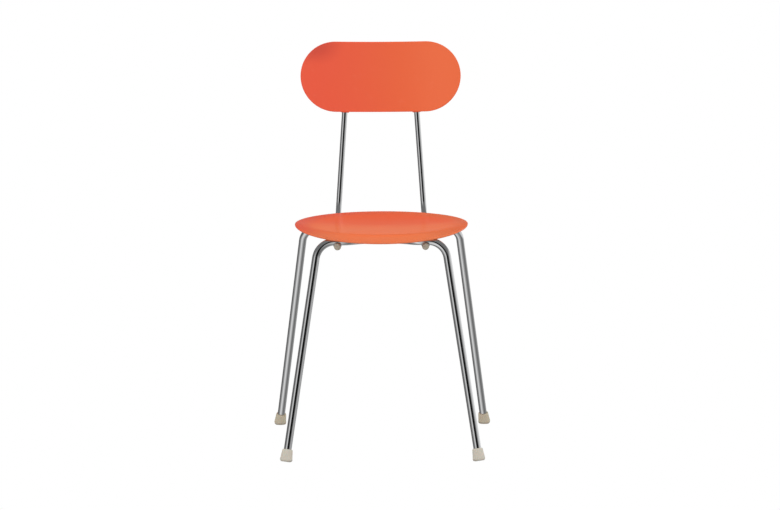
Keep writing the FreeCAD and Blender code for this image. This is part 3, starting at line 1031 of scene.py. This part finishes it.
# brightness round the horizon as (degrees from the front, positive to the right, value)
studio = {
    "upper": [(-180, 0.70), (-150, 0.12), (-115, 0.10), (-72, 0.13), (-52, 0.45), (-35, 0.76),
              (-25, 0.45), (-15, 0.04), (-10, 0.003), (34, 0.003), (43, 0.10), (57, 0.30),
              (70, 0.42), (91, 0.60), (142, 0.78), (180, 0.70)],
    "lower": [(-180, 0.30), (-125, 0.10), (-95, 0.16), (-64, 0.36), (-34, 0.78), (-8, 0.55),
              (25, 0.32), (57, 0.13), (95, 0.22), (140, 0.34), (180, 0.30)],
    "overhead": 0.16,
    # heights on the sphere between which one brightness becomes the next
    "overheadFrom": (0.24, 0.56),
    "horizon": (-0.25, -0.02),
    "wallTop": (0.13, 0.24),
    "wallFoot": (-0.05, 0.0),
    "behind": (0.55, 0.90),
    "backdrop": [(-180, 0.42), (-170, 0.12), (-157, 0.12), (-149, 0.55), (-134, 0.70),
                 (-120, 0.30), (120, 0.30), (132, 0.75), (147, 0.75), (154, 0.12), (165, 0.12),
                 (172, 0.42), (180, 0.42)],
    "behindDark": 0.03,
    "soft": 1.36,
    "floorGlow": 0.80,
    "floorReach": 40.0,
    "floorDrop": 0.0004,
}


def grey(level):
    return (level, level, level, 1)


def buildWorld():
    # white to the camera, a soft even light on surfaces, and the studio in what is mirrored
    world = bpy.data.worlds.new("softStudio")
    world.use_nodes = True
    bpy.context.scene.world = world
    look = Look(world.node_tree)
    direction = look.node("ShaderNodeTexCoord", out=0)
    x, y, z = [look.node("ShaderNodeSeparateXYZ", {}, {"Vector": direction}, out=axis)
               for axis in range(3)]
    angle = x.maths("ARCTAN2", x, -y) / (2 * math.pi) + 0.5
    ramps = {}
    for name in ("upper", "lower", "backdrop"):
        stops = [(turn / 360 + 0.5, value) for turn, value in studio[name]]
        ramps[name] = look.node("ShaderNodeValToRGB", {"stops": stops}, {"Fac": angle})
    around = look.blend(look.span(z, *studio["horizon"]), ramps["lower"], ramps["upper"])
    wall = look.blend(look.span(z, *studio["wallTop"]), ramps["backdrop"],
                      grey(studio["behindDark"]))
    behind = look.span(y, *studio["behind"]) * look.span(z, *studio["wallFoot"])
    around = look.blend(behind, around, wall)
    mirrored = look.blend(look.span(z, *studio["overheadFrom"]), around, grey(studio["overhead"]))
    camera = look.node("ShaderNodeLightPath", out=0)
    glossy = look.node("ShaderNodeLightPath", out=3)
    seen = look.blend(glossy, grey(studio["soft"]), mirrored)
    seen = look.blend(camera, seen, grey(1.0))
    light = look.node("ShaderNodeBackground", {}, {"Color": seen, "Strength": 1.0})
    look.node("ShaderNodeOutputWorld", {}, {"Surface": light})


def buildFloor():
    mesh = bpy.data.meshes.new("studio_floor")
    reach, level = studio["floorReach"], -studio["floorDrop"]
    corners = [(-reach, -reach, level), (reach, -reach, level), (reach, reach, level),
               (-reach, reach, level)]
    mesh.from_pydata(corners, [], [(0, 1, 2, 3)])
    material, look = newLook("pale studio floor")
    camera = look.node("ShaderNodeLightPath", out=0)
    strength = look.node("ShaderNodeMix", {"data_type": "FLOAT"},
                         {0: camera, 2: studio["floorGlow"], 3: 1.0})
    glow = look.node("ShaderNodeEmission", {}, {"Color": grey(1.0), "Strength": strength})
    clear = look.node("ShaderNodeBsdfTransparent")
    under = look.node("ShaderNodeNewGeometry", out=6)
    shown = look.node("ShaderNodeMixShader", {}, {0: under, 1: glow, 2: clear})
    look.node("ShaderNodeOutputMaterial", {}, {"Surface": shown})
    floor = newPiece("studio_floor", mesh, material)
    floor.visible_glossy = False


# metres and degrees
view = {"lens": 179.45, "x": -0.00483, "y": -8.1296, "z": 1.4559, "down": 7.414, "right": 0.160,
        "roll": 0.258}


def buildCamera():
    data = bpy.data.cameras.new("studioCamera")
    data.lens = view["lens"]
    data.sensor_width = 36.0
    data.clip_end = 200.0
    camera = bpy.data.objects.new("studioCamera", data)
    bpy.context.scene.collection.objects.link(camera)
    down, right, roll = (math.radians(view[name]) for name in ("down", "right", "roll"))
    heading = Matrix.Rotation(-right, 3, "Z") @ Matrix.Rotation(math.pi / 2 - down, 3, "X")
    turn = heading @ Matrix.Rotation(-roll, 3, "Z")
    camera.matrix_world = Matrix.Translation((view["x"], view["y"], view["z"])) @ turn.to_4x4()
    bpy.context.scene.camera = camera


buildWorld()
buildFloor()
buildCamera()
bpy.context.scene.view_settings.view_transform = "Standard"
bpy.context.scene.view_settings.look = "None"
print("studio set")
